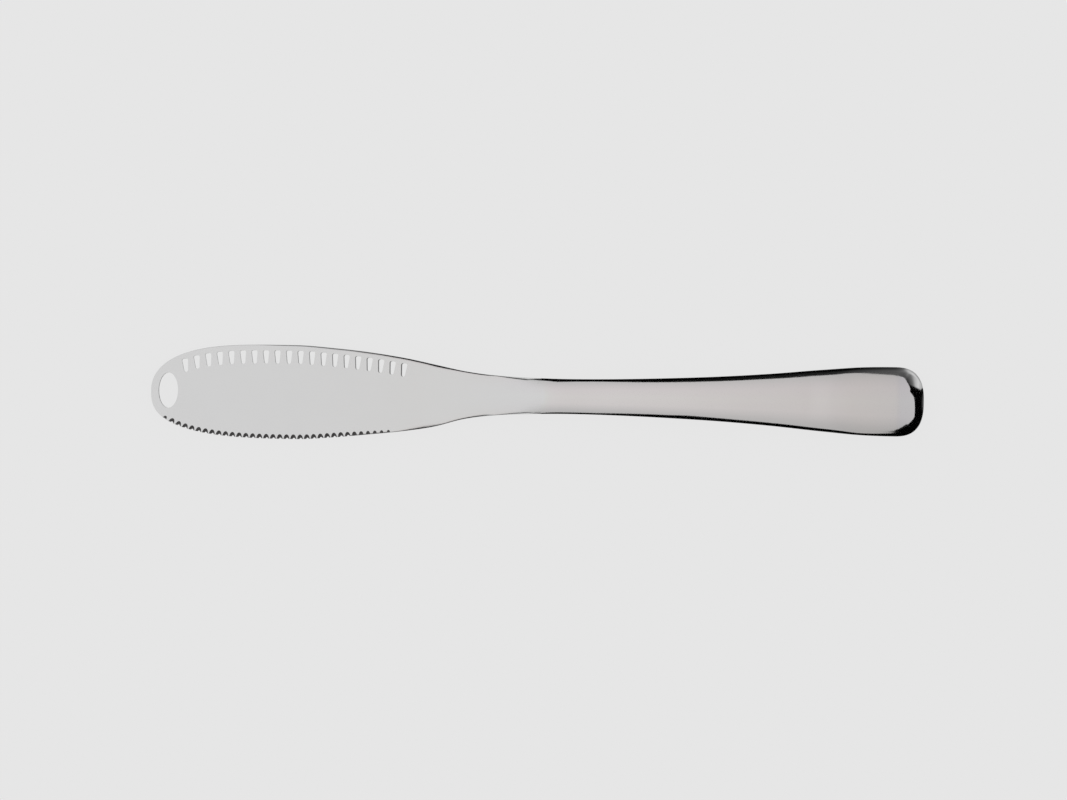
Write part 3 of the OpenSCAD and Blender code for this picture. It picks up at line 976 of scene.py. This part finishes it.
def flags():
    """Cards that curve round the knife, as high and as dark as their tables say, with painted
    glows from their tables.
    """
    side = np.array(PAINTED_SIDE_GLOW, float)
    points, glows, faces = [], [], []
    for first, last, nearness in FLAG_RUNS:
        painted_foot_glow, fade_from, fade_to = FAR_FOOT_PAINTED_GLOW if nearness == 1 else NEAR_FOOT_PAINTED_GLOW
        for bearing in np.arange(first, last + FLAG_STEP, FLAG_STEP):
            if bearing > first:
                faces += [
                    (at, at + 1, at + 1 - FLAG_ROWS, at - FLAG_ROWS)
                    for at in range(len(points), len(points) + FLAG_ROWS - 1)
                ]
            turn = math.radians(bearing)
            spot = butt_rim_spot(math.radians(np.clip(bearing / RIM_TURN_SHARE, -90, 90)))
            side_glow_painted = [np.interp(bearing, side[:, 0], side[:, k]) for k in range(1, side.shape[1])]
            # Painted grey glow on the far flags beside the blade, seen only in the steel's
            # reflection
            grey = BLADE_FLAG_PAINTED_GREY * kept(
                (abs(bearing) - BLADE_FLAG_FROM) / (BLADE_FLAG_TO - BLADE_FLAG_FROM)
            )
            for up in np.linspace(0, np.interp(bearing, *zip(*FLAG_TOPS)), FLAG_ROWS):
                rise = math.radians(up)
                place = np.array((
                    KNIFE_L / 2 + FLAG_AWAY * math.cos(rise) * math.cos(turn),
                    FLAG_AWAY * math.cos(rise) * math.sin(turn),
                    FLAG_AWAY * math.sin(rise) - MID_Z,
                ))
                points.append(spot + nearness * (place - spot))
                # The painted side light's near edge is a degree soft
                past_edge = kept(bearing - np.interp(up, *zip(*PAINTED_SIDE_GLOW_EDGE)) + 0.5)
                # Painted glow on the flags' feet, standing in for light from the table and from
                # pale board
                foot = painted_foot_glow * kept((fade_to - up) / (fade_to - fade_from))
                glows.append(past_edge * np.interp(up, PAINTED_SIDE_GLOW_AT, side_glow_painted) + foot + grey)
    piece = new_object("black_flags", points, faces)
    piece.data.attributes.new("glow", "FLOAT", "POINT").data.foreach_set("value", glows)
    piece.data.materials.append(painted_glow_flag("black_velvet_painted_glow"))
    # The flags are seen only in the steel's reflections: they light nothing and cast no shadow
    piece.visible_camera = False
    piece.visible_diffuse = False
    piece.visible_shadow = False


table()
flags()

# Soft light from all round, weaker and warmer over the handle's end, weaker again to the sides
world = bpy.data.worlds.new("soft_surround")
bpy.context.scene.world = world
world.use_nodes = True
sky = world.node_tree
around = add_node(sky, "ShaderNodeTexCoord").outputs["Generated"]
bearing = add_node(sky, "ShaderNodeSeparateXYZ", inputs={0: around})
shades = []
for axis, rows in enumerate((SKY_ROWS, SKY_SIDE_ROWS)):
    first, last = rows[0][0], rows[-1][0]
    lean_share = add_node(
        sky, "ShaderNodeMapRange",
        inputs={"Value": bearing.outputs[axis], "From Min": first, "From Max": last},
    )
    shade = add_node(sky, "ShaderNodeValToRGB", inputs={0: lean_share.outputs[0]})
    stops = shade.color_ramp.elements
    for number, (lean, colour) in enumerate(rows):
        share = (lean - first) / (last - first)
        stop = stops[number] if share in (0, 1) else stops.new(share)
        stop.color = srgb(colour)
    shades.append(shade.outputs[0])
soft = add_node(
    sky, "ShaderNodeMix", {"data_type": "RGBA", "blend_type": "MULTIPLY"},
    {"Factor": 1.0, 6: shades[0], 7: shades[1]},
)
background = sky.nodes["Background"]
background.inputs["Strength"].default_value = 1.0
sky.links.new(soft.outputs[2], background.inputs["Color"])

# Camera straight above, turned a little about its own axis
lens = bpy.data.cameras.new("camera_above")
lens.lens = LENS_MM
lens.sensor_width = SENSOR_MM
lens.clip_end = 20.0
camera = bpy.data.objects.new("camera_above", lens)
camera.location = CAMERA_PLACE
camera.rotation_euler = (0, 0, math.radians(CAMERA_TURN))
bpy.context.scene.collection.objects.link(camera)
bpy.context.scene.camera = camera
bpy.context.scene.view_settings.view_transform = "Standard"
